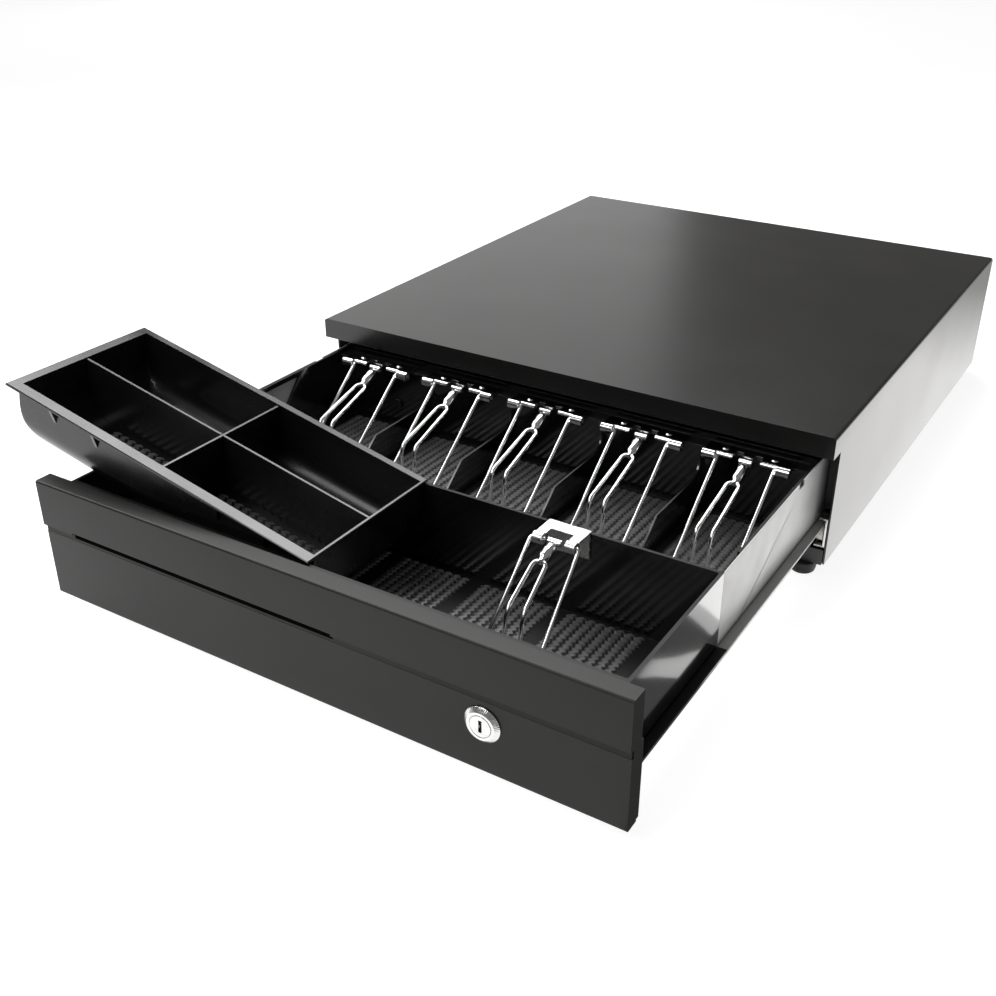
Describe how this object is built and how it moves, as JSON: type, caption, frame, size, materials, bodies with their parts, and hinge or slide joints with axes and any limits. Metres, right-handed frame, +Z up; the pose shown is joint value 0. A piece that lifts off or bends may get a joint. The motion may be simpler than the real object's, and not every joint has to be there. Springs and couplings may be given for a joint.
{
  "type": "cash drawer",
  "caption": "Steel cash drawer with a roller-mounted drawer, bill compartments with wire clips, a front compartment and a lift-out coin tray.",
  "frame": {"origin": "centre of the cabinet's flat underside, just above its rubber feet", "axes": "+X to the right seen from the front, +Y from the front to the back, +Z up; the drawer opens towards -Y"},
  "size_m": [0.4462, 0.7213, 0.1419],
  "materials": {
    "cover_paint": "satin textured paint",
    "black_paint": "satin",
    "zinc": "zinc plated",
    "side_steel": "gloss",
    "panel_plastic": "satin",
    "gloss_black": "gloss",
    "tray_plastic": "gloss",
    "chrome": "polished",
    "nylon": "satin",
    "rubber": "matte",
    "spring_steel": "bright",
    "coil_wrap": "taped"
  },
  "bodies": {
    "cabinet": {"top_cover": "cover_paint", "base_plate": "black_paint", "rear_panel": "black_paint", "front_frame": "black_paint", "cabinet_rail_left": "zinc", "cabinet_rail_right": "zinc", "foot_front_left": "rubber", "foot_front_right": "rubber", "foot_rear_left": "rubber", "foot_rear_right": "rubber", "latch_bracket": "zinc", "solenoid_body": "coil_wrap", "cable_socket": "black_paint", "drawer_switch": "black_paint", "ejector_housing": "black_paint", "ejector_spring": "spring_steel"},
    "drawer": {"front_panel": "panel_plastic", "front_tub": "gloss_black", "drawer_pan": "side_steel", "drawer_rail_left": "side_steel", "drawer_rail_right": "side_steel", "bill_till": "gloss_black", "divider_1": "gloss_black", "divider_2": "gloss_black", "divider_3": "gloss_black", "divider_4": "gloss_black", "lock_body": "chrome", "striker": "zinc", "clip_1_bracket": "chrome", "clip_2_bracket": "chrome", "clip_3_bracket": "chrome", "clip_4_bracket": "chrome", "clip_5_bracket": "chrome", "clip_6_bracket": "zinc"},
    "coin_tray": {"coin_tray_shell": "tray_plastic", "tray_divider_long": "tray_plastic", "tray_divider_cross": "tray_plastic"},
    "front_roller_left": {"front_roller_left": "nylon"},
    "front_roller_right": {"front_roller_right": "nylon"},
    "rear_roller_left": {"rear_roller_left": "nylon"},
    "rear_roller_right": {"rear_roller_right": "nylon"},
    "lock": {"lock_plug": "chrome", "lock_cam": "zinc"},
    "latch_lever": {"latch_lever": "spring_steel"},
    "solenoid_plunger": {"solenoid_plunger": "spring_steel"},
    "switch_lever": {"switch_lever": "spring_steel"},
    "ejector": {"ejector_plunger": "nylon"},
    "clip_1_legs": {"clip_1_bail": "chrome"},
    "clip_1_presser": {"clip_1_fork": "chrome"},
    "clip_2_legs": {"clip_2_bail": "chrome"},
    "clip_2_presser": {"clip_2_fork": "chrome"},
    "clip_3_legs": {"clip_3_bail": "chrome"},
    "clip_3_presser": {"clip_3_fork": "chrome"},
    "clip_4_legs": {"clip_4_bail": "chrome"},
    "clip_4_presser": {"clip_4_fork": "chrome"},
    "clip_5_legs": {"clip_5_bail": "chrome"},
    "clip_5_presser": {"clip_5_fork": "chrome"},
    "clip_6_legs": {"clip_6_bail": "chrome"},
    "clip_6_presser": {"clip_6_fork": "chrome"}
  },
  "joints": [
    {"name": "drawer_slide", "type": "slide", "parent": "cabinet", "child": "drawer", "axis": [0, 1, 0], "range_m": [0, 0.282]},
    {"name": "coin_tray_lift", "type": "slide", "parent": "drawer", "child": "coin_tray", "axis": [0, 0, 1], "range_m": [0, 0.15]},
    {"name": "front_roller_left_spin", "type": "hinge", "parent": "cabinet", "child": "front_roller_left", "pos_m": [-0.1987, -0.20355, 0.0209], "axis": [1, 0, 0], "continuous": true},
    {"name": "rear_roller_left_spin", "type": "hinge", "parent": "drawer", "child": "rear_roller_left", "pos_m": [-0.1983, -0.11205, 0.01995], "axis": [1, 0, 0], "continuous": true},
    {"name": "front_roller_right_spin", "type": "hinge", "parent": "cabinet", "child": "front_roller_right", "pos_m": [0.1987, -0.20355, 0.0209], "axis": [1, 0, 0], "continuous": true},
    {"name": "rear_roller_right_spin", "type": "hinge", "parent": "drawer", "child": "rear_roller_right", "pos_m": [0.1983, -0.11205, 0.01995], "axis": [1, 0, 0], "continuous": true},
    {"name": "clip_1_legs_lift", "type": "hinge", "parent": "drawer", "child": "clip_1_legs", "pos_m": [-0.1506, -0.23205, 0.0722], "axis": [1, 0, 0], "range_deg": [-80, 0]},
    {"name": "clip_1_presser_lift", "type": "hinge", "parent": "drawer", "child": "clip_1_presser", "pos_m": [-0.1506, -0.23205, 0.0722], "axis": [1, 0, 0], "range_deg": [-80, 0], "stiffness_Nm_per_rad": 0.01, "springref_deg": 20.05},
    {"name": "clip_2_legs_lift", "type": "hinge", "parent": "drawer", "child": "clip_2_legs", "pos_m": [-0.0753, -0.23205, 0.0722], "axis": [1, 0, 0], "range_deg": [-80, 0]},
    {"name": "clip_2_presser_lift", "type": "hinge", "parent": "drawer", "child": "clip_2_presser", "pos_m": [-0.0753, -0.23205, 0.0722], "axis": [1, 0, 0], "range_deg": [-80, 0], "stiffness_Nm_per_rad": 0.01, "springref_deg": 20.05},
    {"name": "clip_3_legs_lift", "type": "hinge", "parent": "drawer", "child": "clip_3_legs", "pos_m": [0, -0.23205, 0.0722], "axis": [1, 0, 0], "range_deg": [-80, 0]},
    {"name": "clip_3_presser_lift", "type": "hinge", "parent": "drawer", "child": "clip_3_presser", "pos_m": [0, -0.23205, 0.0722], "axis": [1, 0, 0], "range_deg": [-80, 0], "stiffness_Nm_per_rad": 0.01, "springref_deg": 20.05},
    {"name": "clip_4_legs_lift", "type": "hinge", "parent": "drawer", "child": "clip_4_legs", "pos_m": [0.0753, -0.23205, 0.0722], "axis": [1, 0, 0], "range_deg": [-80, 0]},
    {"name": "clip_4_presser_lift", "type": "hinge", "parent": "drawer", "child": "clip_4_presser", "pos_m": [0.0753, -0.23205, 0.0722], "axis": [1, 0, 0], "range_deg": [-80, 0], "stiffness_Nm_per_rad": 0.01, "springref_deg": 20.05},
    {"name": "clip_5_legs_lift", "type": "hinge", "parent": "drawer", "child": "clip_5_legs", "pos_m": [0.1506, -0.23205, 0.0722], "axis": [1, 0, 0], "range_deg": [-80, 0]},
    {"name": "clip_5_presser_lift", "type": "hinge", "parent": "drawer", "child": "clip_5_presser", "pos_m": [0.1506, -0.23205, 0.0722], "axis": [1, 0, 0], "range_deg": [-80, 0], "stiffness_Nm_per_rad": 0.01, "springref_deg": 20.05},
    {"name": "clip_6_legs_lift", "type": "hinge", "parent": "drawer", "child": "clip_6_legs", "pos_m": [0.0985, -0.39205, 0.0761], "axis": [1, 0, 0], "range_deg": [-80, 0]},
    {"name": "clip_6_presser_lift", "type": "hinge", "parent": "drawer", "child": "clip_6_presser", "pos_m": [0.0985, -0.39205, 0.0761], "axis": [1, 0, 0], "range_deg": [-80, 0], "stiffness_Nm_per_rad": 0.01, "springref_deg": 20.05},
    {"name": "lock_turn", "type": "hinge", "parent": "drawer", "child": "lock", "pos_m": [0.121, -0.49905, 0.032], "axis": [0, 1, 0], "range_deg": [0, 90]},
    {"name": "latch_swing", "type": "hinge", "parent": "cabinet", "child": "latch_lever", "pos_m": [0, 0.20395, 0.027], "axis": [1, 0, 0], "range_deg": [0, 25], "stiffness_Nm_per_rad": 0.1, "springref_deg": -17.19},
    {"name": "plunger_slide", "type": "slide", "parent": "cabinet", "child": "solenoid_plunger", "axis": [0, 0, 1], "range_m": [-0.0034, 0]},
    {"name": "switch_press", "type": "hinge", "parent": "cabinet", "child": "switch_lever", "pos_m": [0.055, 0.19255, 0.023], "axis": [-1, 0, 0], "range_deg": [0, 12], "stiffness_Nm_per_rad": 0.02, "springref_deg": -11.46},
    {"name": "ejector_push", "type": "slide", "parent": "cabinet", "child": "ejector", "axis": [0, 1, 0], "range_m": [0, 0.008], "stiffness_N_per_m": 600, "springref_m": -0.004, "deforming": ["ejector_spring"]}
  ],
  "couplings": [
    {"joint": "coin_tray_lift", "follows": "drawer_slide", "ratio": 0.53},
    {"joint": "front_roller_left_spin", "follows": "drawer_slide", "rad_per_m": -181.82},
    {"joint": "rear_roller_left_spin", "follows": "drawer_slide", "rad_per_m": -161.29},
    {"joint": "front_roller_right_spin", "follows": "drawer_slide", "rad_per_m": -181.82},
    {"joint": "rear_roller_right_spin", "follows": "drawer_slide", "rad_per_m": -161.29},
    {"joint": "latch_swing", "follows": "plunger_slide", "rad_per_m": -128.21}
  ]
}
